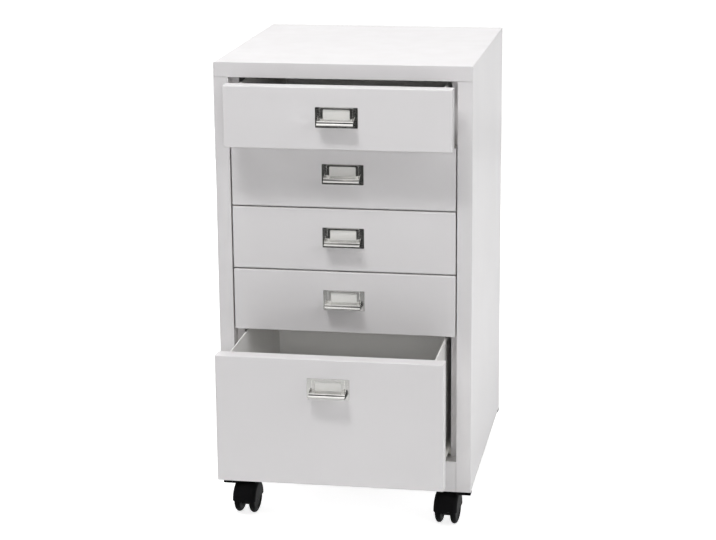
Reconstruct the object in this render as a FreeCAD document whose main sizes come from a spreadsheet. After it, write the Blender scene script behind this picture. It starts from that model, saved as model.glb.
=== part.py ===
"""Mobile drawer cabinet of painted sheet steel: four shallow drawers over a deep one, on castors.

Millimetres. +Z is up, +X is to the right of someone who faces the drawers, and the fronts face -Y.
The origin is on the floor, under the middle of the cabinet as it stands with its top and bottom
drawers part way out. Pieces of the case are drawn from the bottom edge of its front plane, pieces of
a drawer from the bottom edge of its front, and pieces of a castor from the floor under its stem.
"""
import FreeCAD, Part
import math
import os
import re

import Sketcher

SIZES = {
    # Case
    "width": 380,
    "depth": 410,
    "body_height": 644,
    "ground_gap": 56,
    "sheet": 1,
    "case_bend": 2,
    "edge_round": 0.8,
    "seam": 0.4,
    "band_height": 22,
    "band_lip": 14,
    "post_width": 22,
    "recess": 24,
    "rebate": 11,
    "rail_height": 48,
    "rail_lip": 10,
    "back_flange": 14,
    "panel_gap": 0.2,
    "cap_depth": 15,
    "cap_height": 4.5,
    # Drawers
    "front_gap": 2,
    "top_gap": 5,
    "front_depth": 23,
    "front_bend": 1.6,
    "front_flange": 18,
    "front_edge_flange": 11,
    "shallow_front": 93,
    "open_top": 45,
    "open_bottom": 133,
    "travel": 270,
    "tray_inset": 16,
    "tray_end_gap": 42,
    "tray_sheet": 1,
    "rim_drop": 3,
    "hem_height": 8,
    # Runners and rollers
    "runner_sheet": 1,
    "runner_drop": 3,
    "runner_setback": 2,
    "runner_tail": 6,
    "roller_radius": 8,
    "roller_gap": 0.3,
    "side_gap": 1,
    "head_room": 2,
    "rebate_clearance": 0.6,
    "track_inset": 0.5,
    "stud_radius": 2,
    "stud_fit": 0.05,
    "front_stud_inset": 7.5,
    "rear_stud_inset": 10,
    "member_back_gap": 6,
    "member_foot": 12,
    "stop_height": 2,
    "stop_length": 3,
    # Uprights and screws
    "upright_reach": 27,
    "upright_length": 30,
    "upright_setback": 40,
    "upright_end_inset": 2,
    "screw_radius": 1.8,
    "screw_fit": 0.1,
    "screw_head_radius": 3.4,
    "screw_head": 1.2,
    "screw_length": 5,
    # Pulls and label cards
    "pull_width": 62,
    "pull_height": 30,
    "pull_drop": 28,
    "pull_sheet": 1,
    "pull_reach": 16,
    "ledge_drop": 18.5,
    "lip_width": 53,
    "nose_height": 7,
    "nose_round": 4,
    "cheek_rise": 6,
    "window_width": 39,
    "window_height": 14.8,
    "window_foot": 0.5,
    "rim_width": 4,
    "rim_height": 1.2,
    "card_margin": 2,
    "card_slot": 0.6,
    "card_sheet": 0.4,
    "card_gap": 0.1,
    "lug_radius": 1.5,
    "lug_inset": 4,
    "lug_rise": 1.5,
    # Castors
    "stem_side_inset": 35,
    "stem_end_inset": 38,
    "stem_radius": 5,
    "stem_fit": 0.08,
    "stem_hole_gap": 0.2,
    "stem_bottom": 36.3,
    "collar_radius": 8,
    "collar_height": 3.5,
    "nut_radius": 8,
    "nut_height": 5,
    "thread_end": 3,
    "castor_trail": 18.5,
    "castor_turn": -5,
    "wheel_radius": 25,
    "wheel_inner": 7.6,
    "wheel_outer": 16.4,
    "wheel_inner_round": 4.2,
    "tread_flat": 0.5,
    "tread_round": 2.8,
    "tread_angle": 40,
    "wheel_gap": 0.5,
    "axle_radius": 3,
    "axle_fit": 0.05,
    "axle_end": 13.5,
    "hood_skin": 1.3,
    "hood_edge": 24,
    "hood_play": 0.3,
    "boss_radius": 9,
    "web_radius": 13.5,
    # Allowance
    "overrun": 1,
}

SHALLOW_COUNT = 4
DRAWERS = range(1, SHALLOW_COUNT + 2)
SIDES = {"left": -1, "right": 1}

DERIVED = {
    "inner_half": "width / 2 - sheet",
    "opening_half": "width / 2 - post_width",
    "rebate_half": "opening_half - rebate",
    "front_half": "opening_half - front_gap",
    "front_y": "(open_bottom + pull_reach - depth) / 2",
    "deep_front": f"body_height - band_height - rail_height - {SHALLOW_COUNT + 2} * front_gap"
                  f" - {SHALLOW_COUNT} * shallow_front",
    "top_front": "shallow_front + front_gap - top_gap",
    "panel_y": "depth - 2 * sheet",
    # Drawer tray and its slide, from the middle of the drawer out to the side
    "tray_half": "front_half - tray_inset",
    "tray_back": "panel_y - tray_end_gap",
    "upright_half": "inner_half - upright_reach",
    "web_inner_x": "upright_half - runner_sheet",
    "roller_inner_x": "tray_half + runner_sheet + side_gap",
    "roller_outer_x": "web_inner_x - head_room",
    "member_outer_x": "rebate_half - rebate_clearance",
    "flange_inner_x": "member_outer_x + side_gap",
    "track_inner_x": "roller_inner_x + track_inset",
    # The slide's heights, from the bottom of the drawer front
    "roller_z": "roller_radius + roller_gap - runner_drop",
    "member_flange_z": "2 * roller_radius + 2 * roller_gap - runner_drop",
    "track_top_z": "2 * roller_radius + 3 * roller_gap - runner_drop",
    # The slide's places along the drawer, from the front plane
    "runner_front_y": "recess + sheet + runner_setback",
    "runner_back_y": "tray_back + runner_tail",
    "front_stud_y": "runner_front_y + front_stud_inset",
    "member_back_y": "tray_back - member_back_gap",
    "rear_stud_y": "member_back_y - rear_stud_inset",
    "stop_reach": "sqrt(roller_radius ^ 2 - (roller_radius + roller_gap - stop_height) ^ 2) + roller_gap",
    "stop_back_y": "rear_stud_y - travel - stop_reach",
    "front_screw_y": "upright_setback + upright_length / 2",
    "rear_upright_y": "runner_back_y - upright_end_inset - upright_length",
    "rear_screw_y": "rear_upright_y + upright_length / 2",
    # Pull
    "lip_half": "lip_width / 2",
    "window_half": "window_width / 2",
    "card_half": "window_half + card_margin - card_gap",
    # Castor
    "stem_x": "width / 2 - stem_side_inset",
    "hood_top": "ground_gap - collar_height - hood_play",
    "web_half": "wheel_inner - wheel_gap",
    "tread_inner_x": "wheel_inner + wheel_inner_round",
    "tread_outer_x": "tread_inner_x + tread_flat",
    "shoulder_sine": "sin(tread_angle * 1 deg)",
    "shoulder_cosine": "cos(tread_angle * 1 deg)",
    "shoulder_round": "(wheel_outer - tread_outer_x - tread_round * shoulder_sine) / (1 - shoulder_sine)",
    "shoulder_centre_x": "wheel_outer - shoulder_round",
    "shoulder_centre_z": "wheel_radius - tread_round + (tread_round - shoulder_round) * shoulder_cosine",
}

doc = FreeCAD.newDocument("DrawerCabinet")
sheet = doc.addObject("Spreadsheet::Sheet", "Sizes")
for row, (size_name, size) in enumerate(SIZES.items(), start=1):
    sheet.set(f"A{row}", size_name)
    sheet.set(f"B{row}", str(size))
    sheet.setAlias(f"B{row}", size_name)
doc.recompute()


def bound(text):
    """The expression with each size read from the sheet and each derived name opened up."""
    def swap(match):
        word = match.group()
        if word in SIZES:
            return "Sizes." + word
        if word in DERIVED:
            return "(" + bound(DERIVED[word]) + ")"
        return word
    return re.sub(r"[a-z]\w*", swap, text)


def number(text):
    """What the expression comes to with the sheet as it is."""
    result = sheet.evalExpression(bound(text))
    return float(getattr(result, "Value", result))


def drive(item, **expressions):
    """Bind properties of an object to expressions of sizes."""
    for name, text in expressions.items():
        item.setExpression(name, bound(text))


def place(item, x="0", y="0", z="0"):
    """Bind an object's Placement to expressions of sizes."""
    for axis, text in (("x", x), ("y", y), ("z", z)):
        item.setExpression("Placement.Base." + axis, bound(text))
    return item


def place_on_case(item):
    """Place a piece that is drawn from the bottom edge of the case's front plane."""
    return place(item, y="front_y", z="ground_gap")


# Sketches on a body's own planes

LEVEL_SIGN = {"XY": "", "XZ": "-", "YZ": ""}


def new_sketch(body, plane, level="0"):
    """A sketch on one of the body's planes, or level along the plane's own axis from it."""
    item = body.newObject("Sketcher::SketchObject", body.Name + "_sketch")
    origin_plane = next(part for part in body.Origin.OriginFeatures if part.Role == plane + "_Plane")
    item.AttachmentSupport = [(origin_plane, "")]
    item.MapMode = "FlatFace"
    item.setExpression("AttachmentOffset.Base.z", bound(f"{LEVEL_SIGN[plane]}({level})"))
    return item


def axle_sketch(body):
    """A sketch of a section along the axle: x along the axle, y the distance from it."""
    item = new_sketch(body, "XZ", "-castor_trail")
    item.setExpression("AttachmentOffset.Base.y", bound("wheel_radius"))
    return item


def pin_point(item, geometry, point, across, up):
    """Tie a point of a sketch to expressions of sizes."""
    for kind, text in (("DistanceX", across), ("DistanceY", up)):
        tie = item.addConstraint(Sketcher.Constraint(kind, -1, 1, geometry, point, number(text)))
        item.setExpression(f"Constraints[{tie}]", bound(text))


def draw_outline(item, corners):
    """A closed outline. A corner is (x, y), or (x, y, centre) where an arc leads to the next one."""
    points = [FreeCAD.Vector(number(corner[0]), number(corner[1]), 0) for corner in corners]
    pieces = []
    for index, corner in enumerate(corners):
        start, end = points[index], points[(index + 1) % len(points)]
        if len(corner) == 2:
            geometry = item.addGeometry(Part.LineSegment(start, end))
            pieces.append((geometry, 1, 2))
            continue
        centre = FreeCAD.Vector(number(corner[2][0]), number(corner[2][1]), 0)
        circle = Part.Circle(centre, FreeCAD.Vector(0, 0, 1), (start - centre).Length)
        turn = (start - centre).cross(end - centre).z
        first, last = (start, end) if turn > 0 else (end, start)
        angles = [math.atan2(tip.y - centre.y, tip.x - centre.x) for tip in (first, last)]
        geometry = item.addGeometry(Part.ArcOfCircle(circle, angles[0], angles[1]))
        pieces.append((geometry, 1, 2) if turn > 0 else (geometry, 2, 1))
        flat = abs(end.x - start.x) > abs(end.y - start.y)
        kind, text = ("DistanceY", corner[2][1]) if flat else ("DistanceX", corner[2][0])
        tie = item.addConstraint(Sketcher.Constraint(kind, -1, 1, geometry, 3, number(text)))
        item.setExpression(f"Constraints[{tie}]", bound(text))
    for index, (geometry, start, end) in enumerate(pieces):
        following, following_start, _ = pieces[(index + 1) % len(pieces)]
        item.addConstraint(Sketcher.Constraint("Coincident", geometry, end, following, following_start))
        pin_point(item, geometry, start, corners[index][0], corners[index][1])
    return item


def draw_rectangle(item, left, bottom, right, top):
    """An upright rectangle."""
    return draw_outline(item, [(left, bottom), (right, bottom), (right, top), (left, top)])


def draw_circle(item, across, up, radius):
    """A circle."""
    centre = FreeCAD.Vector(number(across), number(up), 0)
    geometry = item.addGeometry(Part.Circle(centre, FreeCAD.Vector(0, 0, 1), number(radius)))
    pin_point(item, geometry, 3, across, up)
    tie = item.addConstraint(Sketcher.Constraint("Radius", geometry, number(radius)))
    item.setExpression(f"Constraints[{tie}]", bound(radius))
    return item


# Features

def plane_of(item):
    """The name of the plane that a sketch lies on."""
    return item.AttachmentSupport[0][0].Role[:2]


def pad(body, item, length, midplane=False):
    """Add the sketch's area, carried along the positive axis or evenly to both sides."""
    feature = body.newObject("PartDesign::Pad", body.Name + "_pad")
    feature.Profile = item
    feature.Reversed = plane_of(item) == "XZ"
    feature.Midplane = midplane
    drive(feature, Length=length)
    return feature


def pocket(body, item, length, midplane=False):
    """Cut the sketch's area away, carried along the positive axis or evenly to both sides."""
    feature = body.newObject("PartDesign::Pocket", body.Name + "_pocket")
    feature.Profile = item
    feature.Reversed = plane_of(item) != "XZ"
    feature.Midplane = midplane
    drive(feature, Length=length)
    return feature


def revolve(body, item, kind="PartDesign::Revolution"):
    """Turn the sketch right round its own horizontal axis."""
    feature = body.newObject(kind, body.Name + "_turned")
    feature.Profile = item
    feature.ReferenceAxis = (item, ["H_Axis"])
    feature.Angle = 360
    return feature


def round_edges(body, feature, radius, chosen):
    """Round the edges of the body's last feature that the chosen test picks."""
    doc.recompute()
    names = [f"Edge{n}" for n, edge in enumerate(feature.Shape.Edges, start=1) if chosen(edge)]
    rounding = body.newObject("PartDesign::Fillet", body.Name + "_rounding")
    rounding.Base = (feature, names)
    drive(rounding, Radius=radius)
    return rounding


def new_body(name):
    return doc.addObject("PartDesign::Body", name)


def compound(name, items):
    """One object of several separate solids."""
    item = doc.addObject("Part::Compound", name)
    item.Links = items
    return item


def mirrored(item):
    """The left-hand twin of a right-hand piece."""
    twin = doc.addObject("Part::Mirroring", item.Name + "_left")
    twin.Source = item
    twin.Base = FreeCAD.Vector(0, 0, 0)
    twin.Normal = FreeCAD.Vector(1, 0, 0)
    return twin


def cylinder(name, radius, length, x="0", y="0", z="0", along="Z"):
    """A cylinder that starts at a point and runs along +Z or +X."""
    item = doc.addObject("Part::Cylinder", name)
    if along == "X":
        item.Placement.Rotation = FreeCAD.Rotation(FreeCAD.Vector(0, 1, 0), 90)
    drive(item, Radius=radius, Height=length)
    return place(item, x, y, z)


def fused(name, items):
    item = doc.addObject("Part::MultiFuse", name)
    item.Shapes = items
    return item


def front_height(number_of_drawer):
    """The height of a drawer's front, as an expression. The top one leaves a wider gap under the band."""
    if number_of_drawer == 1:
        return "top_front"
    return "shallow_front" if number_of_drawer <= SHALLOW_COUNT else "deep_front"


def front_bottom(number_of_drawer):
    """The height of a front's bottom edge over the bottom of the case, as an expression."""
    if number_of_drawer > SHALLOW_COUNT:
        return "rail_height + front_gap"
    fronts_below = SHALLOW_COUNT - number_of_drawer
    return f"rail_height + 2 * front_gap + deep_front + {fronts_below} * (shallow_front + front_gap)"


# Case

def make_wrap():
    """Left side, top and right side folded from one sheet, with the front posts, band and back rim."""
    body = new_body("cabinet_wrap")
    bend_x, bend_z = "width / 2 - case_bend", "body_height - case_bend"
    shell = draw_outline(new_sketch(body, "XZ"), [
        ("-width / 2", "0"),
        ("-width / 2", bend_z, (f"-({bend_x})", bend_z)),
        (f"-({bend_x})", "body_height"),
        (bend_x, "body_height", (bend_x, bend_z)),
        ("width / 2", bend_z),
        ("width / 2", "0"),
        ("inner_half", "0"),
        ("inner_half", bend_z, (bend_x, bend_z)),
        (bend_x, "body_height - sheet"),
        (f"-({bend_x})", "body_height - sheet", (f"-({bend_x})", bend_z)),
        ("-inner_half", bend_z),
        ("-inner_half", "0"),
    ])
    pad(body, shell, "depth")
    band = draw_rectangle(new_sketch(body, "XZ"), "-inner_half", "body_height - band_height",
                          "inner_half", "body_height - sheet")
    pad(body, band, "sheet")
    lip = draw_rectangle(new_sketch(body, "XY", "body_height - band_height"),
                         "seam - opening_half", "0", "opening_half - seam", "band_lip")
    pad(body, lip, "sheet")
    for sign in ("", "-"):
        post = draw_outline(new_sketch(body, "XY", "sheet"), [
            (f"{sign}(inner_half)", "0"),
            (f"{sign}(opening_half)", "0"),
            (f"{sign}(opening_half)", "recess"),
            (f"{sign}(rebate_half)", "recess"),
            (f"{sign}(rebate_half)", "recess + sheet"),
            (f"{sign}(opening_half + sheet)", "recess + sheet"),
            (f"{sign}(opening_half + sheet)", "sheet"),
            (f"{sign}(inner_half)", "sheet"),
        ])
        pad(body, post, "body_height - band_height - seam - sheet")
    back = draw_outline(new_sketch(body, "XZ", "depth - sheet"), [
        ("-inner_half", "0"),
        ("back_flange - width / 2", "0"),
        ("back_flange - width / 2", "body_height - back_flange"),
        ("width / 2 - back_flange", "body_height - back_flange"),
        ("width / 2 - back_flange", "0"),
        ("inner_half", "0"),
        ("inner_half", "body_height - sheet"),
        ("-inner_half", "body_height - sheet"),
    ])
    last = pad(body, back, "sheet")
    half, height, corner = number("width / 2"), number("body_height"), number("case_bend")

    def on_outer_rim(edge):
        """True for the front's outer edges up the sides, round the corners and across the top."""
        middle = edge.CenterOfMass
        box = edge.BoundBox
        if box.YLength > number("seam") or box.YMax > number("seam"):
            return False
        at_side = abs(abs(middle.x) - half) < number("seam")
        at_top = abs(middle.z - height) < number("seam")
        at_corner = abs(middle.x) > half - corner and middle.z > height - corner
        bend = edge.Curve.TypeId == "Part::GeomCircle" and edge.Curve.Radius > number("case_bend - sheet / 2")
        return (at_side and box.ZLength > corner) or (at_top and box.XLength > corner) or (at_corner and bend)

    round_edges(body, last, "edge_round", on_outer_rim)
    return place_on_case(body)


def make_back_panel():
    body = new_body("back_panel")
    face = draw_rectangle(new_sketch(body, "XZ", "panel_y"), "panel_gap - inner_half", "0",
                          "inner_half - panel_gap", "body_height - case_bend - panel_gap")
    pad(body, face, "sheet")
    return place_on_case(body)


def make_base_pan():
    """Floor of the case with a folded front rail that fills the opening under the drawers."""
    body = new_body("base_pan")
    floor = draw_rectangle(new_sketch(body, "XY"), "-inner_half", "0", "inner_half", "panel_y")
    for x in ("stem_x", "-stem_x"):
        for y in ("stem_end_inset", "depth - stem_end_inset"):
            draw_circle(floor, x, y, "stem_radius + stem_hole_gap")
    pad(body, floor, "sheet")
    rail = draw_outline(new_sketch(body, "YZ"), [
        ("0", "0"),
        ("0", "rail_height"),
        ("recess", "rail_height"),
        ("recess", "rail_height - rail_lip"),
        ("recess - sheet", "rail_height - rail_lip"),
        ("recess - sheet", "rail_height - sheet"),
        ("sheet", "rail_height - sheet"),
        ("sheet", "0"),
    ])
    pad(body, rail, "2 * (opening_half - seam)", midplane=True)
    return place_on_case(body)


def make_uprights(name, start):
    """A pair of channels up the inside of the sides, which the runners are screwed to."""
    body = new_body(name + "_right")
    channel = draw_outline(new_sketch(body, "XY", "sheet"), [
        ("inner_half", start),
        ("upright_half", start),
        ("upright_half", f"{start} + upright_length"),
        ("inner_half", f"{start} + upright_length"),
        ("inner_half", f"{start} + upright_length - sheet"),
        ("upright_half + sheet", f"{start} + upright_length - sheet"),
        ("upright_half + sheet", f"{start} + sheet"),
        ("inner_half", f"{start} + sheet"),
    ])
    pad(body, channel, "body_height - case_bend - sheet")
    holes = new_sketch(body, "YZ", "upright_half - overrun")
    for drawer in DRAWERS:
        draw_circle(holes, f"{start} + upright_length / 2", f"{front_bottom(drawer)} + roller_z",
                    "screw_radius + screw_fit")
    pocket(body, holes, "sheet + 2 * overrun")
    return place_on_case(compound(name, [body, mirrored(body)]))


def make_corner_caps():
    """Plastic caps under the four corners of the case."""
    caps = []
    for side, sign in SIDES.items():
        for row, start in (("front", "0"), ("back", "depth - cap_depth")):
            body = new_body(f"cap_{row}_{side}")
            edges = [f"{sign} * (opening_half + sheet)", f"{sign} * width / 2"][::sign]
            foot = draw_rectangle(new_sketch(body, "XY", "-cap_height"),
                                  edges[0], start, edges[1], f"{start} + cap_depth")
            last = pad(body, foot, "cap_height")
            round_edges(body, last, "edge_round", lambda edge: edge.BoundBox.ZLength > number("sheet"))
            caps.append(body)
    return place_on_case(compound("corner_caps", caps))


def make_cabinet_runners():
    """The channels on the uprights, each with its front stud and the stop that ends the travel."""
    runners = []
    for drawer in DRAWERS:
        body = new_body(f"cabinet_runner_{drawer}")
        section = draw_outline(new_sketch(body, "XZ", "runner_front_y"), [
            ("track_inner_x", "-runner_drop - runner_sheet"),
            ("upright_half", "-runner_drop - runner_sheet"),
            ("upright_half", "track_top_z + runner_sheet"),
            ("flange_inner_x", "track_top_z + runner_sheet"),
            ("flange_inner_x", "track_top_z"),
            ("web_inner_x", "track_top_z"),
            ("web_inner_x", "-runner_drop"),
            ("track_inner_x", "-runner_drop"),
        ])
        pad(body, section, "runner_back_y - runner_front_y")
        stud = draw_circle(new_sketch(body, "YZ", "roller_inner_x"), "front_stud_y", "roller_z", "stud_radius")
        pad(body, stud, "upright_half - roller_inner_x")
        stop = draw_rectangle(new_sketch(body, "YZ", "track_inner_x"), "stop_back_y - stop_length",
                              "-runner_drop - runner_sheet / 2", "stop_back_y", "stop_height - runner_drop")
        pad(body, stop, "web_inner_x - track_inner_x")
        holes = new_sketch(body, "YZ", "web_inner_x - overrun")
        for y in ("front_screw_y", "rear_screw_y"):
            draw_circle(holes, y, "roller_z", "screw_radius + screw_fit")
        pocket(body, holes, "runner_sheet + 2 * overrun")
        place(body, z=front_bottom(drawer))
        runners += [body, mirrored(body)]
    return place_on_case(compound("cabinet_runners", runners))


def make_runner_screws():
    """Two screws through each runner into its upright."""
    screws = []
    for drawer in DRAWERS:
        height = f"{front_bottom(drawer)} + roller_z"
        for row, y in (("front", "front_screw_y"), ("rear", "rear_screw_y")):
            name = f"screw_{drawer}_{row}"
            head = cylinder(name + "_head", "screw_head_radius", "screw_head", "web_inner_x - screw_head",
                            y, height, along="X")
            shank = cylinder(name + "_shank", "screw_radius", "screw_length", "web_inner_x", y, height, along="X")
            screw = fused(name, [head, shank])
            screws += [screw, mirrored(screw)]
    return place_on_case(compound("runner_screws", screws))


# Castors

CASTORS = {
    f"castor_{row}_{side}": (f"{sign} * stem_x", f"front_y + {inset}")
    for row, inset in (("front", "stem_end_inset"), ("rear", "depth - stem_end_inset"))
    for side, sign in SIDES.items()
}


def make_castor_stems():
    """The four swivel pins, each with its collar under the floor of the case and its nut on top."""
    stems = []
    for name, (x, y) in CASTORS.items():
        pin = cylinder(name + "_pin", "stem_radius",
                       "ground_gap + sheet + nut_height + thread_end - stem_bottom", x, y, "stem_bottom")
        collar = cylinder(name + "_collar", "collar_radius", "collar_height", x, y, "ground_gap - collar_height")
        nut = doc.addObject("Part::Prism", name + "_nut")
        nut.Polygon = 6
        drive(nut, Circumradius="nut_radius", Height="nut_height")
        place(nut, x, y, "ground_gap + sheet")
        stems.append(fused(name + "_stem", [pin, collar, nut]))
    return compound("castor_stems", stems)


def shoulder(sign, offset):
    """Half a castor section from the tread out to the side, grown by an offset from the wheel."""
    crown_centre = (f"{sign} * (tread_outer_x)", "wheel_radius - tread_round")
    side_centre = (f"{sign} * (shoulder_centre_x)", "shoulder_centre_z")
    return [
        (f"{sign} * (tread_outer_x)", f"wheel_radius + {offset}", crown_centre),
        (f"{sign} * (tread_outer_x + (tread_round + {offset}) * shoulder_sine)",
         f"wheel_radius - tread_round + (tread_round + {offset}) * shoulder_cosine", side_centre),
        (f"{sign} * (wheel_outer + {offset})", "shoulder_centre_z"),
    ]


def reversed_outline(corners):
    """The same corners the other way round, with each arc's centre on the corner that it leaves."""
    points = [corner[:2] for corner in corners][::-1]
    centres = [corner[2:] for corner in corners[:-1]][::-1] + [()]
    return [point + centre for point, centre in zip(points, centres)]


def place_on_castor(item, name):
    """Place a piece that is drawn from the floor under a castor's stem, and turn it with the castor."""
    item.Placement.Rotation = FreeCAD.Rotation(FreeCAD.Vector(0, 0, 1), number("castor_turn"))
    item.setExpression("Placement.Rotation.Angle", bound("castor_turn * 1 deg"))
    return place(item, *CASTORS[name])


def make_hood(name):
    """Moulded hood: a dome over both wheels, a web between them and a boss round the stem."""
    body = new_body(name + "_hood")
    grown = "(wheel_gap + hood_skin)"
    right = shoulder(1, grown)
    barrel = draw_outline(axle_sketch(body), [
        (f"-(wheel_outer + {grown})", "0"),
        *reversed_outline(shoulder(-1, grown)),
        *right,
        (f"wheel_outer + {grown}", "0"),
    ])
    revolve(body, barrel)
    below = draw_rectangle(new_sketch(body, "XY", f"-{grown} - overrun"),
                           f"-(wheel_outer + {grown} + overrun)",
                           f"-(castor_trail + wheel_radius + {grown} + overrun)",
                           f"wheel_outer + {grown} + overrun",
                           f"wheel_radius + {grown} + overrun - castor_trail")
    pocket(body, below, f"hood_edge + {grown} + overrun")
    boss = draw_circle(new_sketch(body, "XY", "hood_edge"), "0", "0", "boss_radius")
    pad(body, boss, "hood_top - hood_edge")
    for sign in SIDES.values():
        well = draw_outline(axle_sketch(body), [
            (f"{sign} * web_half", "0"),
            (f"{sign} * web_half", "wheel_radius - wheel_inner_round",
             (f"{sign} * (tread_inner_x)", "wheel_radius - wheel_inner_round")),
            (f"{sign} * (tread_inner_x)", "wheel_radius + wheel_gap"),
            *shoulder(sign, "wheel_gap"),
            (f"{sign} * (wheel_outer + wheel_gap)", "0"),
        ])
        revolve(body, well, "PartDesign::Groove")
    web = draw_circle(new_sketch(body, "YZ"), "-castor_trail", "wheel_radius", "web_radius")
    pad(body, web, "2 * web_half", midplane=True)
    bore = draw_circle(new_sketch(body, "YZ"), "-castor_trail", "wheel_radius", "axle_radius + axle_fit")
    pocket(body, bore, "2 * (web_half + overrun)", midplane=True)
    socket = draw_circle(new_sketch(body, "XY", "stem_bottom - hood_play"), "0", "0", "stem_radius + stem_fit")
    pocket(body, socket, "hood_top - stem_bottom + hood_play + overrun")
    return place_on_castor(body, name)


def make_axle(name):
    body = new_body(name + "_axle")
    rod = draw_circle(new_sketch(body, "YZ"), "-castor_trail", "wheel_radius", "axle_radius")
    pad(body, rod, "2 * axle_end", midplane=True)
    return place_on_castor(body, name)


def make_wheel(name, side, sign):
    """Wheel with a rounded tread, a domed outer face and a blind bore for the axle."""
    body = new_body(f"{name}_wheel_{side}")
    bore = "axle_radius + axle_fit"
    bore_end = f"{sign} * (axle_end + wheel_gap)"
    section = draw_outline(axle_sketch(body), [
        (f"{sign} * wheel_inner", bore),
        (f"{sign} * wheel_inner", "wheel_radius - wheel_inner_round",
         (f"{sign} * (tread_inner_x)", "wheel_radius - wheel_inner_round")),
        (f"{sign} * (tread_inner_x)", "wheel_radius"),
        *shoulder(sign, "0"),
        (f"{sign} * wheel_outer", "0"),
        (bore_end, "0"),
        (bore_end, bore),
    ])
    revolve(body, section)
    return place_on_castor(body, name)


# Drawers

def place_on_drawer(item, drawer, x="0", y="0", z="0"):
    """Place a piece that is drawn from the bottom edge of a drawer's front, pulled out as it stands."""
    pulled = {DRAWERS[0]: "open_top", DRAWERS[-1]: "open_bottom"}.get(drawer, "0")
    return place(item, x, f"front_y - {pulled} + {y}", f"ground_gap + {front_bottom(drawer)} + {z}")


def make_front(drawer):
    """Folded front: a pan with returns and rear flanges, and holes for the pull's lugs."""
    body = new_body(f"drawer_{drawer}_front")
    height = front_height(drawer)
    block = draw_rectangle(new_sketch(body, "XZ"), "-front_half", "0", "front_half", height)
    last = pad(body, block, "front_depth")
    round_edges(body, last, "front_bend", lambda edge: edge.BoundBox.YMax < number("front_bend"))
    inside = draw_rectangle(new_sketch(body, "XZ", "sheet"), "sheet - front_half", "sheet",
                            "front_half - sheet", f"{height} - sheet")
    pocket(body, inside, "front_depth - 2 * sheet")
    window = draw_rectangle(new_sketch(body, "XZ", "front_depth - sheet - overrun"),
                            "front_flange - front_half", "front_edge_flange",
                            "front_half - front_flange", f"{height} - front_edge_flange")
    pocket(body, window, "sheet + 2 * overrun")
    holes = new_sketch(body, "XZ", "-overrun")
    for sign in SIDES.values():
        draw_circle(holes, f"{sign} * (pull_width / 2 - lug_inset)",
                    f"{height} - pull_drop - pull_height + lug_inset", "lug_radius + screw_fit")
    pocket(body, holes, "sheet + 2 * overrun")
    return place_on_drawer(body, drawer)


def make_tray(drawer):
    """Open tray of thin sheet with hemmed side rims, on the feet of the drawer's slide members."""
    body = new_body(f"drawer_{drawer}_tray")
    top = f"{front_height(drawer)} - rim_drop"
    hem = f"{top} - hem_height"
    section = draw_outline(new_sketch(body, "XZ", "front_depth"), [
        ("-tray_half", "runner_sheet"),
        ("tray_half", "runner_sheet"),
        ("tray_half", hem),
        ("tray_half + tray_sheet", hem),
        ("tray_half + tray_sheet", top),
        ("tray_half - tray_sheet", top),
        ("tray_half - tray_sheet", "runner_sheet + tray_sheet"),
        ("tray_sheet - tray_half", "runner_sheet + tray_sheet"),
        ("tray_sheet - tray_half", top),
        ("-tray_half - tray_sheet", top),
        ("-tray_half - tray_sheet", hem),
        ("-tray_half", hem),
    ])
    pad(body, section, "tray_back - front_depth")
    for level in ("front_depth", "tray_back - tray_sheet"):
        wall = draw_rectangle(new_sketch(body, "XZ", level), "-tray_half", "runner_sheet", "tray_half", top)
        pad(body, wall, "tray_sheet")
    return place_on_drawer(body, drawer)


def make_members(drawer):
    """The pair of slide members on the tray's sides, each with its rear stud."""
    body = new_body(f"drawer_{drawer}_runner")
    section = draw_outline(new_sketch(body, "XZ", "front_depth + tray_sheet"), [
        ("tray_half - member_foot", "0"),
        ("tray_half + runner_sheet", "0"),
        ("tray_half + runner_sheet", "member_flange_z"),
        ("member_outer_x", "member_flange_z"),
        ("member_outer_x", "member_flange_z + runner_sheet"),
        ("tray_half", "member_flange_z + runner_sheet"),
        ("tray_half", "runner_sheet"),
        ("tray_half - member_foot", "runner_sheet"),
    ])
    pad(body, section, "member_back_y - front_depth - tray_sheet")
    stud = draw_circle(new_sketch(body, "YZ", "tray_half"), "rear_stud_y", "roller_z", "stud_radius")
    pad(body, stud, "roller_outer_x - tray_half")
    return place_on_drawer(compound(f"drawer_{drawer}_runners", [body, mirrored(body)]), drawer)


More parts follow.
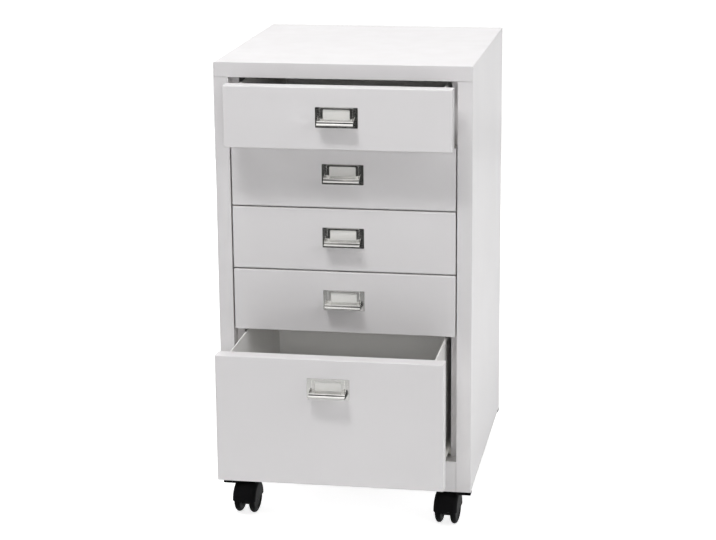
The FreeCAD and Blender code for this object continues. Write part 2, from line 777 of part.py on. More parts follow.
def make_pull(drawer):
    """Stamped pull: a plate with a framed label window over a ledge that turns down to a nose."""
    body = new_body(f"drawer_{drawer}_pull")
    top = f"{front_height(drawer)} - pull_drop"
    ledge = f"{top} - ledge_drop"
    window_bottom = f"{ledge} + window_foot"
    window_top = f"{window_bottom} + window_height"
    plate = draw_rectangle(new_sketch(body, "XZ", "-pull_sheet"), "-pull_width / 2", f"{top} - pull_height",
                           "pull_width / 2", top)
    pad(body, plate, "pull_sheet")
    frame = draw_rectangle(new_sketch(body, "XZ", "-pull_sheet - rim_height"),
                           "-window_half - rim_width", f"{ledge} - pull_sheet", "window_half + rim_width", top)
    pad(body, frame, "rim_height")
    turn = ("nose_round - pull_reach", f"{ledge} - nose_round")
    nose = draw_outline(new_sketch(body, "YZ"), [
        ("-pull_sheet / 2", ledge),
        ("nose_round - pull_reach", ledge, turn),
        ("-pull_reach", f"{ledge} - nose_round"),
        ("-pull_reach", f"{ledge} - nose_height"),
        ("pull_sheet - pull_reach", f"{ledge} - nose_height"),
        ("pull_sheet - pull_reach", f"{ledge} - nose_round", turn),
        ("nose_round - pull_reach", f"{ledge} - pull_sheet"),
        ("-pull_sheet / 2", f"{ledge} - pull_sheet"),
    ])
    pad(body, nose, "lip_width", midplane=True)
    for level in ("-lip_half", "lip_half - pull_sheet"):
        cheek = draw_outline(new_sketch(body, "YZ", level), [
            ("-pull_sheet / 2", f"{ledge} + cheek_rise"),
            ("nose_round - pull_reach", ledge, turn),
            ("-pull_reach", f"{ledge} - nose_round"),
            ("-pull_reach", f"{ledge} - nose_height"),
            ("-pull_sheet / 2", f"{ledge} - nose_height"),
        ])
        pad(body, cheek, "pull_sheet")
    lugs = new_sketch(body, "XZ", "-pull_sheet / 2")
    for sign in SIDES.values():
        draw_circle(lugs, f"{sign} * (pull_width / 2 - lug_inset)", f"{top} - pull_height + lug_inset", "lug_radius")
    pad(body, lugs, "pull_sheet / 2 + sheet + lug_rise")
    window = draw_rectangle(new_sketch(body, "XZ", "-pull_sheet - rim_height - overrun"),
                            "-window_half", window_bottom, "window_half", window_top)
    pocket(body, window, "pull_sheet + rim_height + 2 * overrun")
    slot = draw_rectangle(new_sketch(body, "XZ", "-card_slot"), "-window_half - card_margin",
                          f"{window_bottom} - card_margin", "window_half + card_margin",
                          f"{window_top} + card_margin")
    pocket(body, slot, "card_slot + overrun")
    return place_on_drawer(body, drawer)


def make_label_card(drawer):
    """The card behind the pull's window."""
    item = doc.addObject("Part::Box", f"drawer_{drawer}_label_card")
    drive(item, Length="2 * card_half", Width="card_sheet",
          Height="window_height + 2 * (card_margin - card_gap)")
    bottom = f"{front_height(drawer)} - pull_drop - ledge_drop + window_foot - card_margin + card_gap"
    return place_on_drawer(item, drawer, "-card_half", "-card_gap - card_sheet", bottom)


def make_rollers(drawer, row, y):
    """A pair of slide rollers, one on each side of the drawer."""
    body = new_body(f"drawer_{drawer}_{row}_roller")
    ring = draw_circle(new_sketch(body, "YZ", "roller_inner_x"), y, "roller_z", "roller_radius")
    draw_circle(ring, y, "roller_z", "stud_radius + stud_fit")
    pad(body, ring, "roller_outer_x - roller_inner_x")
    return compound(f"drawer_{drawer}_{row}_rollers", [body, mirrored(body)])


def make_drawer(drawer):
    """One drawer with its pull, its card, its slide members and the four rollers that carry it."""
    front_rollers = make_rollers(drawer, "front", "front_stud_y")
    place(front_rollers, y="front_y", z=f"ground_gap + {front_bottom(drawer)}")
    rear_rollers = make_rollers(drawer, "rear", "rear_stud_y")
    place_on_drawer(rear_rollers, drawer)
    return [make_front(drawer), make_tray(drawer), make_members(drawer), make_pull(drawer),
            make_label_card(drawer), front_rollers, rear_rollers]


pieces = [
    make_wrap(), make_back_panel(), make_base_pan(),
    make_uprights("front_uprights", "upright_setback"),
    make_uprights("rear_uprights", "(rear_upright_y)"),
    make_corner_caps(), make_cabinet_runners(), make_runner_screws(), make_castor_stems(),
]
for castor in CASTORS:
    pieces += [make_hood(castor), make_axle(castor)]
    pieces += [make_wheel(castor, side, sign) for side, sign in SIDES.items()]
for drawer_number in DRAWERS:
    pieces += make_drawer(drawer_number)

doc.recompute()
failed = [item.Label for item in doc.Objects if {"Invalid", "Error"} & set(item.State)]
failed += [piece.Label for piece in pieces if piece.Shape.isNull() or not piece.Shape.isValid()]
if failed:
    raise RuntimeError("these did not build: " + ", ".join(failed))

os.makedirs("parts", exist_ok=True)
for piece in pieces:
    piece.Shape.exportStep(f"parts/{piece.Label}.step")
    box = piece.Shape.BoundBox
    print(f"{piece.Label}: {len(piece.Shape.Solids)} solids, {piece.Shape.Volume / 1000:.2f} cm3, "
          f"x {box.XMin:.1f} {box.XMax:.1f} y {box.YMin:.1f} {box.YMax:.1f} z {box.ZMin:.1f} {box.ZMax:.1f}")
print(f"{len(pieces)} pieces; the front plane is at y {number('front_y'):.1f}")
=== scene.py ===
"""Looks of the mobile drawer cabinet: powder coat, nickel pulls, label cards, castors and a studio.

Metres, in the frame of the packed model: +Z is up, the drawers open towards -Y, the floor is at Z 0.
"""

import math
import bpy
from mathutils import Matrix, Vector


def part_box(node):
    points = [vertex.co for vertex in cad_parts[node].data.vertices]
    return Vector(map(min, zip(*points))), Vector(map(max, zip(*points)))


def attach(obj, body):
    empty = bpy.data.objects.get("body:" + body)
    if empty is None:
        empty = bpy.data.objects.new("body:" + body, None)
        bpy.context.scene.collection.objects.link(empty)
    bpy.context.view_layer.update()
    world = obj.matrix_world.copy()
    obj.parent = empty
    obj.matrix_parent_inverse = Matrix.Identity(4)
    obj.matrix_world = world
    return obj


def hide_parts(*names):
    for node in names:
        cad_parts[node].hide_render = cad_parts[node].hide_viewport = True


bl_info = {
    "name": "Drawer Cabinet Looks",
    "version": (1, 0, 0),
    "blender": (4, 5, 0),
    "location": "3D View > Sidebar > Cabinet",
    "description": "Finishes and small pieces for the packed drawer cabinet, with a plain studio",
    "category": "Object",
}

import bmesh
import bpy
from mathutils import Matrix, Vector

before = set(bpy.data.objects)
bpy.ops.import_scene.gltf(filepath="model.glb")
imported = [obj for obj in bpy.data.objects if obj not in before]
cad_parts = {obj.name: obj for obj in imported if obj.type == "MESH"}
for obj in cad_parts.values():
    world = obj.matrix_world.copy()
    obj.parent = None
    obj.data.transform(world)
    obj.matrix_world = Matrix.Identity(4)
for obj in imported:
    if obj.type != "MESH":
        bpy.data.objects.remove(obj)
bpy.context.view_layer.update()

DRAWERS = range(1, 6)
SIDES = {"left": -1, "right": 1}
CASTORS = [f"castor_{row}_{side}" for row in ("front", "rear") for side in SIDES]
MM = 0.001

# Angles in degrees: edges over the first get rounded, edges over the second stay sharp in the shading,
# and no edge is over the third.
ROUNDED_OVER = 40
SHARP_OVER = 50
NEVER_SHARP = 180

# Points of a packed mesh that are closer than this become one.
MERGE_DISTANCE = 0.004 * MM

# Points in each ring of a castor wheel.
WHEEL_STEPS = 64

# Radius of the corners of the label cards.
CARD_CORNER = 0.8 * MM

# Height of the studio's dark sheet over the floor.
SHEET_CLEAR = 10 * MM

# Rays that edge wear and dust send out from a point to find edges and corners.
RAYS = 6


def screen_colour(red, green, blue):
    """A colour picked on a screen, from 0 to 255, in the linear values that shaders take."""
    def linear(value):
        value /= 255
        return value / 12.92 if value <= 0.04045 else ((value + 0.055) / 1.055) ** 2.4
    return linear(red), linear(green), linear(blue)


def colour_setting(name, description, red, green, blue):
    """A colour of the add-on, given as it is picked on a screen."""
    return bpy.props.FloatVectorProperty(name=name, description=description, subtype="COLOR", size=3,
                                         min=0, max=1, default=screen_colour(red, green, blue))


def length_setting(name, description, millimetres):
    """A length of the add-on, given in millimetres and kept in metres."""
    return bpy.props.FloatProperty(name=name, description=description, unit="LENGTH", subtype="DISTANCE",
                                   precision=5, min=0, default=millimetres * MM)


def share_setting(name, description, default):
    """A strength of the add-on, from 0 to 1."""
    return bpy.props.FloatProperty(name=name, description=description, subtype="FACTOR",
                                   min=0, max=1, default=default)


def lamp_setting(name, description, watts):
    """The power of a lamp."""
    return bpy.props.FloatProperty(name=name, description=description, unit="POWER", min=0, default=watts)


class CabinetColours(bpy.types.PropertyGroup):
    """Colours of the painted, plated and moulded surfaces."""
    coat: colour_setting("Powder coat", "Case and drawer fronts", 226, 224, 225)
    tray: colour_setting("Tray paint", "Insides of the drawers", 237, 236, 234)
    runner: colour_setting("Runner epoxy", "Slide channels and members", 228, 227, 222)
    primer: colour_setting("Rubbed edge", "What shows where the coat is rubbed thin", 196, 195, 192)
    dust: colour_setting("Dust", "Fine dust that settles in corners", 176, 168, 156)
    nickel: colour_setting("Nickel", "Pulls", 226, 225, 222)
    zinc: colour_setting("Zinc", "Screws, studs, axles and castor stems", 176, 178, 182)
    black: colour_setting("Black nylon", "Castors and corner caps", 21, 21, 22)
    # Lighter edges of the black nylon: rubbing, and also a painted highlight on the castors and corner caps.
    scuff_and_highlight: colour_setting("Scuffed nylon", "Edges where the black nylon is rubbed", 62, 61, 60)
    white: colour_setting("White nylon", "Slide rollers", 236, 234, 227)
    card: colour_setting("Card", "Label cards", 238, 237, 234)


class CabinetSurfaces(bpy.types.PropertyGroup):
    """Sizes and strengths of the surface detail."""
    grain_size: length_setting("Grain size", "Width of the powder coat's orange peel", 0.9)
    grain_depth: length_setting("Grain depth", "Depth of the powder coat's orange peel", 0.012)
    coat_roughness: share_setting("Coat roughness", "How matt the powder coat is", 0.36)
    wear: share_setting("Edge wear", "How much of the folded edges is rubbed", 0.35)
    dust: share_setting("Dust", "How much dust lies in the corners", 0.3)
    case_round: length_setting("Case edges", "Rounding of the case's cut edges", 0.3)
    tray_round: length_setting("Tray rims", "Rounding of the hemmed rims", 0.45)
    weld_pitch: length_setting("Weld pitch", "From one spot weld on the back to the next", 88)
    weld_radius: length_setting("Weld radius", "Radius of the mark of a spot weld", 3.2)
    weld_depth: length_setting("Weld depth", "Depth of the mark of a spot weld", 0.3)
    weld_inset: length_setting("Weld inset", "From the side of the case to the spot welds on its back", 7)


class CabinetPulls(bpy.types.PropertyGroup):
    """Sizes of the stamped pulls, beside those that the packed model gives."""
    sheet: length_setting("Sheet", "Thickness of the pull's sheet", 1)
    corner: length_setting("Corner", "Radius of the plate's corners", 1.3)
    window_width: length_setting("Window width", "Width of the label window", 39)
    window_height: length_setting("Window height", "Height of the label window", 14.8)
    window_corner: length_setting("Window corner", "Radius of the window's corners", 1.8)
    frame_height: length_setting("Frame height", "How far the window's frame stands off the plate", 0.8)
    frame_width: length_setting("Frame width", "Width of the window's frame", 4.4)
    frame_slope: length_setting("Frame slope", "Width of the slope round the frame", 0.4)
    ledge_drop: length_setting("Ledge drop", "From the top of the plate to the ledge", 18.5)
    lip_width: length_setting("Lip width", "Width of the ledge and its nose", 53)
    bend_round: length_setting("Bend round", "Radius of the ledge's front bend", 1.1)
    groove_height: length_setting("Groove height", "Height of the groove between the bend and the bead", 1.4)
    groove_depth: length_setting("Groove depth", "Depth of that groove", 2.2)
    bead_round: length_setting("Bead round", "Radius of the bead along the nose", 3)
    nose_height: length_setting("Nose height", "From the ledge to the nose's lower edge", 7)
    cheek_rise: length_setting("Cheek rise", "How far the cheeks run up the plate", 6)
    cheek_sheet: length_setting("Cheek sheet", "Thickness of the cheeks", 0.35)
    edge_round: length_setting("Edges", "Rounding of the pull's sharp edges", 0.15)


class CabinetWheels(bpy.types.PropertyGroup):
    """Section of the castor wheels, from the middle of the tread out to the side and in to the web."""
    thickness: length_setting("Thickness", "Thickness of a wheel at its hub", 8.8)
    tread: length_setting("Tread", "Width of the flat part of the tread", 0.5)
    tread_round: length_setting("Tread round", "Rounding of the tread on the outer side", 2.8)
    shoulder_round: length_setting("Shoulder round", "Rounding from there to the outer side", 6.4)
    inner_round: length_setting("Inner round", "Rounding of the tread towards the web", 4.2)
    hub_radius: length_setting("Hub", "Radius of the hub's cap", 6)
    dish_radius: length_setting("Dish", "Radius out to which the side is dished", 16.5)
    dish_depth: length_setting("Dish depth", "Depth of the dished ring", 0.9)
    hood_round: length_setting("Hood edges", "Rounding of the hood's edges", 0.25)


class CabinetStudio(bpy.types.PropertyGroup):
    """Camera, lamps and floor."""
    place: bpy.props.FloatVectorProperty(name="Camera place", description="Where the camera stands",
                                         subtype="XYZ", unit="LENGTH", size=3,
                                         default=(0.518, -2.972, 1.147))
    yaw: bpy.props.FloatProperty(name="Yaw", description="Camera's turn to the left of +Y",
                                 subtype="ANGLE", default=0.173)
    pitch: bpy.props.FloatProperty(name="Pitch", description="Camera's tilt below the horizon",
                                   subtype="ANGLE", default=0.2549)
    roll: bpy.props.FloatProperty(name="Roll", description="Camera's roll about its line of sight",
                                  subtype="ANGLE", default=-0.0084)
    lens: bpy.props.FloatProperty(name="Lens", description="Focal length in mm on a 36 mm sensor",
                                  default=101.87)
    room: bpy.props.FloatProperty(name="Room light", description="Strength of the even light", default=0.09)
    key: lamp_setting("Key lamp", "Power of the lamp high in front, a little to the left", 34)
    top: lamp_setting("Top lamp", "Power of the lamp over the top", 16.5)
    right: lamp_setting("Right lamp", "Power of the lamp in front on the right", 28)
    front: lamp_setting("Front lamp", "Power of the lamp beside the camera", 18.5)
    left: lamp_setting("Left lamp", "Power of the lamp beside the left side", 14)
    back: lamp_setting("Back lamp", "Power of the lamp behind the cabinet", 16)
    floor: colour_setting("Floor", "The plain pale floor", 236, 236, 236)
    glow: share_setting("Floor glow", "How much of the floor's white shows in its shadows", 0.78)


# Node helpers

def add_node(tree, kind, inputs=None, **settings):
    """Add a node, set its properties, and give its inputs a value or a link."""
    node = tree.nodes.new(kind)
    for name, value in settings.items():
        setattr(node, name, value)
    for name, value in (inputs or {}).items():
        socket = node.inputs[name]
        if isinstance(value, bpy.types.NodeSocket):
            tree.links.new(value, socket)
        else:
            socket.default_value = value
    return node


def maths(tree, operation, first, second=0.0, clamp=False):
    """The output of a Math node."""
    return add_node(tree, "ShaderNodeMath", {0: first, 1: second}, operation=operation,
                    use_clamp=clamp).outputs[0]


def ramp(tree, value, low, high):
    """Value from low to high, stretched to 0 to 1 and kept there."""
    return add_node(tree, "ShaderNodeMapRange",
                    {"Value": value, "From Min": low, "From Max": high}).outputs["Result"]


def noise(tree, scale, detail=2.0, stretch=None):
    """Noise over the piece's own coordinates, at so many waves a metre."""
    place = add_node(tree, "ShaderNodeTexCoord").outputs["Object"]
    if stretch:
        place = add_node(tree, "ShaderNodeVectorMath", {0: place, 1: stretch},
                         operation="MULTIPLY").outputs[0]
    node = add_node(tree, "ShaderNodeTexNoise", {"Vector": place, "Scale": scale, "Detail": detail})
    return node.outputs["Fac"]


def new_group(name, inputs, outputs):
    """A shader node group with named inputs, each with its default, and named outputs."""
    tree = bpy.data.node_groups.new(name, "ShaderNodeTree")
    kind = "NodeSocketFloat"
    for label, default in inputs.items():
        socket = tree.interface.new_socket(name=label, in_out="INPUT", socket_type=kind)
        socket.default_value = default
    for label in outputs:
        tree.interface.new_socket(name=label, in_out="OUTPUT", socket_type=kind)
    return tree, tree.nodes.new("NodeGroupInput").outputs, tree.nodes.new("NodeGroupOutput")


def place_group(tree, name, **values):
    """A group placed in a material with its own values, where an underline stands for a space."""
    node = add_node(tree, "ShaderNodeGroup", node_tree=bpy.data.node_groups[name])
    for label, value in values.items():
        node.inputs[label.replace("_", " ").capitalize()].default_value = value
    return node


def make_grain_group():
    """Fine bumps of a sprayed or moulded surface, and slow unevenness over a hand's width."""
    tree, given, result = new_group("Grain", {"Size": 0.001}, ("Height", "Unevenness"))
    fine_share = 0.6
    coarse_share = 0.4
    coarse_waves = 0.37
    waves = maths(tree, "DIVIDE", 1.0, given["Size"])
    fine = noise(tree, waves)
    coarse = noise(tree, maths(tree, "MULTIPLY", waves, coarse_waves), detail=1.0)
    height = maths(tree, "ADD", maths(tree, "MULTIPLY", fine, fine_share),
                   maths(tree, "MULTIPLY", coarse, coarse_share))
    tree.links.new(height, result.inputs["Height"])
    tree.links.new(ramp(tree, noise(tree, scale=9.0), low=0.35, high=0.65), result.inputs["Unevenness"])


def make_wear_group():
    """Where folded or moulded edges are rubbed, broken up so that no edge is rubbed all along."""
    tree, given, result = new_group("Edge wear", {"Radius": 0.001, "Amount": 0.3}, ("Mask",))
    rounded = add_node(tree, "ShaderNodeBevel", {"Radius": given["Radius"]}, samples=RAYS).outputs["Normal"]
    flat = add_node(tree, "ShaderNodeNewGeometry").outputs["Normal"]
    same = add_node(tree, "ShaderNodeVectorMath", {0: rounded, 1: flat},
                    operation="DOT_PRODUCT").outputs["Value"]
    edge = ramp(tree, maths(tree, "SUBTRACT", 1.0, same), low=0.01, high=0.12)
    patches = ramp(tree, noise(tree, scale=45.0, detail=4.0), low=0.42, high=0.62)
    mask = maths(tree, "MULTIPLY", maths(tree, "MULTIPLY", edge, patches), given["Amount"])
    tree.links.new(mask, result.inputs["Mask"])


def make_dust_and_shade_group():
    """Mask of inner corners and a little of whatever faces up: dust that settles there on the paint and
    nylon, and painted shade in the creases of the plated pieces.
    """
    tree, given, result = new_group("Dust and crease shade", {"Reach": 0.02, "Amount": 0.3}, ("Mask",))
    lying_share = 0.25
    open_sky = add_node(tree, "ShaderNodeAmbientOcclusion", {"Distance": given["Reach"]},
                        samples=RAYS).outputs["AO"]
    corner = ramp(tree, maths(tree, "SUBTRACT", 1.0, open_sky), low=0.35, high=0.9)
    normal = add_node(tree, "ShaderNodeNewGeometry").outputs["Normal"]
    up = add_node(tree, "ShaderNodeSeparateXYZ", {"Vector": normal}).outputs["Z"]
    lying = maths(tree, "MULTIPLY", ramp(tree, up, low=0.5, high=1.0), lying_share)
    patches = ramp(tree, noise(tree, scale=30.0, detail=5.0), low=0.3, high=0.75)
    mask = maths(tree, "MULTIPLY", maths(tree, "ADD", corner, lying), patches)
    tree.links.new(maths(tree, "MULTIPLY", mask, given["Amount"], clamp=True), result.inputs["Mask"])


def make_handling_group():
    """Faint smears and rubbing that change the gloss."""
    tree, given, result = new_group("Handling", {"Size": 0.04, "Amount": 0.1}, ("Mask",))
    waves = maths(tree, "DIVIDE", 1.0, given["Size"])
    smears = ramp(tree, noise(tree, waves, detail=6.0, stretch=(1.0, 1.0, 0.35)), low=0.4, high=0.75)
    tree.links.new(maths(tree, "MULTIPLY", smears, given["Amount"]), result.inputs["Mask"])


def make_brushed_group():
    """Fine polishing lines along the width of a plated sheet, and the plating's slight waviness."""
    tree, given, result = new_group("Polishing lines", {"Line size": 0.0002, "Amount": 0.2},
                                    ("Height", "Mask"))
    line_share = 0.06
    waves = maths(tree, "DIVIDE", 1.0, given["Line size"])
    lines = noise(tree, waves, detail=2.0, stretch=(0.03, 1.0, 1.0))
    mask = maths(tree, "MULTIPLY", ramp(tree, lines, low=0.35, high=0.7), given["Amount"])
    tree.links.new(mask, result.inputs["Mask"])
    height = maths(tree, "ADD", noise(tree, scale=160.0), maths(tree, "MULTIPLY", lines, line_share))
    tree.links.new(height, result.inputs["Height"])


def make_weld_group():
    """Shallow round marks of spot welds, in an upright row near each side edge of the case's back."""
    tree, given, result = new_group("Spot welds", {"Edge": 0.18, "Pitch": 0.09, "Radius": 0.003},
                                    ("Height",))
    flat_share = 0.55
    place = add_node(tree, "ShaderNodeTexCoord").outputs["Object"]
    place = add_node(tree, "ShaderNodeSeparateXYZ", {"Vector": place}).outputs
    across = maths(tree, "SUBTRACT", maths(tree, "ABSOLUTE", place["X"]), given["Edge"])
    along = maths(tree, "PINGPONG", place["Z"], maths(tree, "MULTIPLY", given["Pitch"], 0.5))
    distance = maths(tree, "SQRT", maths(tree, "ADD", maths(tree, "MULTIPLY", across, across),
                                         maths(tree, "MULTIPLY", along, along)))
    inner = maths(tree, "MULTIPLY", given["Radius"], flat_share)
    in_front = maths(tree, "LESS_THAN", place["Y"], 0.0)
    height = maths(tree, "MAXIMUM", ramp(tree, distance, inner, given["Radius"]), in_front)
    tree.links.new(height, result.inputs["Height"])


# Materials

def new_material(name):
    """A new material's node tree and its Principled shader."""
    material = bpy.data.materials.new(name)
    material.use_nodes = True
    return material.node_tree, material.node_tree.nodes["Principled BSDF"]


def opaque(colour):
    """What a colour socket takes: another socket as it is, or a colour with full cover."""
    return colour if isinstance(colour, bpy.types.NodeSocket) else (*colour, 1.0)


def tint(tree, mask, plain, other):
    """A colour that goes from plain to other where the mask is 1."""
    first, second = 6, 7
    inputs = {"Factor": mask, first: opaque(plain), second: opaque(other)}
    return add_node(tree, "ShaderNodeMix", inputs, data_type="RGBA").outputs[2]


def between(tree, mask, low, high):
    """A value that goes from low to high with the mask."""
    return add_node(tree, "ShaderNodeMapRange",
                    {"Value": mask, "To Min": low, "To Max": high}).outputs["Result"]


def scaled(colour, share):
    """A colour made darker by a share."""
    return tuple(channel * share for channel in colour)


def bump(tree, shader, height, depth, under=None):
    """Give the shader a bump of so many metres, over the normal of another bump where one is given."""
    node = add_node(tree, "ShaderNodeBump", {"Height": height, "Distance": depth})
    if under:
        tree.links.new(under, node.inputs["Normal"])
    tree.links.new(node.outputs["Normal"], shader.inputs["Normal"])


def make_paint(name, colour, roughness, dust, weld_edge=None):
    """Sprayed paint: orange peel, rubbed edges, dust in the corners and faint smears.

    Where weld_edge is given, spot welds show on the back, that far from the middle of the case.
    """
    colours = bpy.context.scene.cabinet_colours
    surfaces = bpy.context.scene.cabinet_surfaces
    smear_dulling = 0.1
    dust_dulling = 0.5
    tree, shader = new_material(name)
    grain = place_group(tree, "Grain", size=surfaces.grain_size).outputs
    worn = place_group(tree, "Edge wear", radius=1.2 * MM, amount=surfaces.wear).outputs["Mask"]
    dust_and_shade = place_group(tree, "Dust and crease shade", reach=25 * MM, amount=dust).outputs["Mask"]
    smeared = place_group(tree, "Handling", size=60 * MM, amount=0.5).outputs["Mask"]
    base = tint(tree, grain["Unevenness"], scaled(colour, share=0.985), colour)
    base = tint(tree, worn, base, colours.primer)
    base = tint(tree, dust_and_shade, base, colours.dust)
    tree.links.new(base, shader.inputs["Base Color"])
    dull = maths(tree, "ADD", between(tree, smeared, roughness, roughness + smear_dulling),
                 maths(tree, "MULTIPLY", dust_and_shade, dust_dulling), clamp=True)
    tree.links.new(dull, shader.inputs["Roughness"])
    pressed = None
    if weld_edge:
        marks = place_group(tree, "Spot welds", edge=weld_edge, pitch=surfaces.weld_pitch,
                            radius=surfaces.weld_radius).outputs["Height"]
        pressed = add_node(tree, "ShaderNodeBump",
                           {"Height": marks, "Distance": surfaces.weld_depth}).outputs["Normal"]
    bump(tree, shader, grain["Height"], surfaces.grain_depth, pressed)
    shader.inputs["Specular IOR Level"].default_value = 0.5


def make_plating(name, colour, roughness, line_size, lines, depth, grime_and_shade):
    """Plated steel with polishing lines, fingered patches, and dirt and painted shade in its creases."""
    smear_dulling = 0.1
    line_dulling = 0.2
    tree, shader = new_material(name)
    brushed = place_group(tree, "Polishing lines", line_size=line_size, amount=lines).outputs
    smeared = place_group(tree, "Handling", size=12 * MM, amount=0.6).outputs["Mask"]
    dust_and_shade = place_group(tree, "Dust and crease shade", reach=3 * MM, amount=grime_and_shade).outputs["Mask"]
    base = tint(tree, brushed["Mask"], colour, scaled(colour, share=0.86))
    # The creases go nearly black: painted shade, with some dirt.
    base = tint(tree, dust_and_shade, base, scaled(colour, share=0.08))
    tree.links.new(base, shader.inputs["Base Color"])
    dull = maths(tree, "ADD", between(tree, smeared, roughness, roughness + smear_dulling),
                 maths(tree, "MULTIPLY", brushed["Mask"], line_dulling))
    tree.links.new(dull, shader.inputs["Roughness"])
    bump(tree, shader, brushed["Height"], depth)
    shader.inputs["Metallic"].default_value = 1.0


def make_nylon(name, colour, edge_colour, roughness, grain_size, wear, dust, gloss):
    """Moulded nylon: fine spark texture, and another shade along rubbed edges, which on the black nylon is
    also a painted highlight.
    """
    unevenness = 0.08
    tree, shader = new_material(name)
    grain = place_group(tree, "Grain", size=grain_size).outputs
    worn = place_group(tree, "Edge wear", radius=1.0 * MM, amount=wear).outputs["Mask"]
    dust_and_shade = place_group(tree, "Dust and crease shade", reach=12 * MM, amount=dust).outputs["Mask"]
    base = tint(tree, grain["Unevenness"], scaled(colour, share=0.9), colour)
    # Edge colour: rubbing, and on the black nylon also a painted highlight.
    base = tint(tree, worn, base, edge_colour)
    base = tint(tree, dust_and_shade, base, bpy.context.scene.cabinet_colours.dust)
    tree.links.new(base, shader.inputs["Base Color"])
    dull = between(tree, grain["Unevenness"], roughness, roughness + unevenness)
    tree.links.new(dull, shader.inputs["Roughness"])
    bump(tree, shader, grain["Height"], depth=0.01 * MM)
    shader.inputs["Specular IOR Level"].default_value = gloss


def make_card_stock(name, colour):
    """Uncoated card with a faint fibre and slightly darker edges."""
    tree, shader = new_material(name)
    fibre = noise(tree, scale=2500.0, detail=6.0, stretch=(1.0, 1.0, 0.4))
    base = tint(tree, ramp(tree, fibre, low=0.3, high=0.7), scaled(colour, share=0.96), colour)
    worn = place_group(tree, "Edge wear", radius=0.8 * MM, amount=0.5).outputs["Mask"]
    base = tint(tree, worn, base, scaled(colour, share=0.82))
    tree.links.new(base, shader.inputs["Base Color"])
    tree.links.new(between(tree, fibre, low=0.75, high=0.9), shader.inputs["Roughness"])
    bump(tree, shader, fibre, depth=0.02 * MM)


# Mesh helpers

def make_shading_group():
    """Modifier that drops the packed normals and shades smooth, but for edges over an angle."""
    tree = bpy.data.node_groups.new("Shade by angle", "GeometryNodeTree")
    for label, way, kind in (("Geometry", "INPUT", "NodeSocketGeometry"),
                             ("Angle", "INPUT", "NodeSocketFloat"),
                             ("Geometry", "OUTPUT", "NodeSocketGeometry")):
        tree.interface.new_socket(name=label, in_out=way, socket_type=kind)
    given = tree.nodes.new("NodeGroupInput").outputs
    plain = add_node(tree, "GeometryNodeRemoveAttribute",
                     {"Geometry": given["Geometry"], "Name": "custom_normal"}).outputs[0]
    faces = add_node(tree, "GeometryNodeSetShadeSmooth", {"Geometry": plain, "Shade Smooth": True},
                     domain="FACE").outputs[0]
    angle = add_node(tree, "GeometryNodeInputMeshEdgeAngle").outputs["Unsigned Angle"]
    sharp = add_node(tree, "FunctionNodeCompare", {0: angle, 1: given["Angle"]}, data_type="FLOAT",
                     operation="GREATER_THAN").outputs[0]
    edges = add_node(tree, "GeometryNodeSetShadeSmooth",
                     {"Geometry": faces, "Selection": sharp, "Shade Smooth": False},
                     domain="EDGE").outputs[0]
    tree.links.new(edges, tree.nodes.new("NodeGroupOutput").inputs["Geometry"])
    return tree


def shade_by_angle(item, degrees):
    """Add the shading modifier to an object."""
    tree = bpy.data.node_groups.get("Shade by angle") or make_shading_group()
    modifier = item.modifiers.new("Shading", "NODES")
    modifier.node_group = tree
    modifier[tree.interface.items_tree["Angle"].identifier] = math.radians(degrees)


def round_edges(item, width, segments, corners):
    """Round the sharp edges of an object and keep its flats flat in the shading."""
    rounding = item.modifiers.new("Edges", "BEVEL")
    rounding.width = width
    rounding.segments = segments
    rounding.limit_method = "ANGLE"
    rounding.angle_limit = math.radians(ROUNDED_OVER)
    rounding.miter_outer = corners
    shade_by_angle(item, SHARP_OVER)
    item.modifiers.new("Flats", "WEIGHTED_NORMAL").keep_sharp = True


def dress(node, material, edge_round=0.0, segments=2):
    """Give a packed node its material, and soft edges where a rounding is given."""
    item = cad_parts[node]
    item.data.materials.clear()
    item.data.materials.append(material)
    if edge_round:
        item.modifiers.new("Join", "WELD").merge_threshold = MERGE_DISTANCE
        shade_by_angle(item, NEVER_SHARP)
        round_edges(item, edge_round, segments, "MITER_ARC")


def new_piece(name, mesh, body, material, smooth_angle):
    """Link a new piece to the scene, and let it ride on its body."""
    mesh.materials.append(material)
    mesh.polygons.foreach_set("use_smooth", [True] * len(mesh.polygons))
    mesh.set_sharp_from_angle(angle=math.radians(smooth_angle))
    item = bpy.data.objects.new(name, mesh)
    bpy.context.scene.collection.objects.link(item)
    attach(item, body)
    return item


def mesh_from(name, build):
    """A mesh whose faces the build function draws, turned to face out."""
    draft = bmesh.new()
    build(draft)
    bmesh.ops.recalc_face_normals(draft, faces=draft.faces)
    mesh = bpy.data.meshes.new(name)
    draft.to_mesh(mesh)
    draft.free()
    return mesh


def arc(centre, radius, start, end, steps):
    """Points of an arc, angles in degrees."""
    angles = [math.radians(start + (end - start) * step / steps) for step in range(steps + 1)]
    return [(centre[0] + radius * math.cos(a), centre[1] + radius * math.sin(a)) for a in angles]


def rounded_rectangle(left, bottom, right, top, radius, steps=6):
    """Corner arcs of an upright rectangle, anticlockwise from the lower right."""
    points = []
    for x, y, start in ((right - radius, bottom + radius, -90), (right - radius, top - radius, 0),
                        (left + radius, top - radius, 90), (left + radius, bottom + radius, 180)):
        points += arc((x, y), radius, start, start + 90, steps)
    return points


def skin(draft, loops, ends=False):
    """Join loops of equally many points with faces, from each loop to the next, and close both ends."""
    rings = [[draft.verts.new(point) for point in loop] for loop in loops]
    for near, far in zip(rings, rings[1:]):
        for index, corner in enumerate(near):
            after = (index + 1) % len(near)
            draft.faces.new((corner, near[after], far[after], far[index]))
    if ends:
        draft.faces.new(rings[0])
        draft.faces.new(rings[-1])


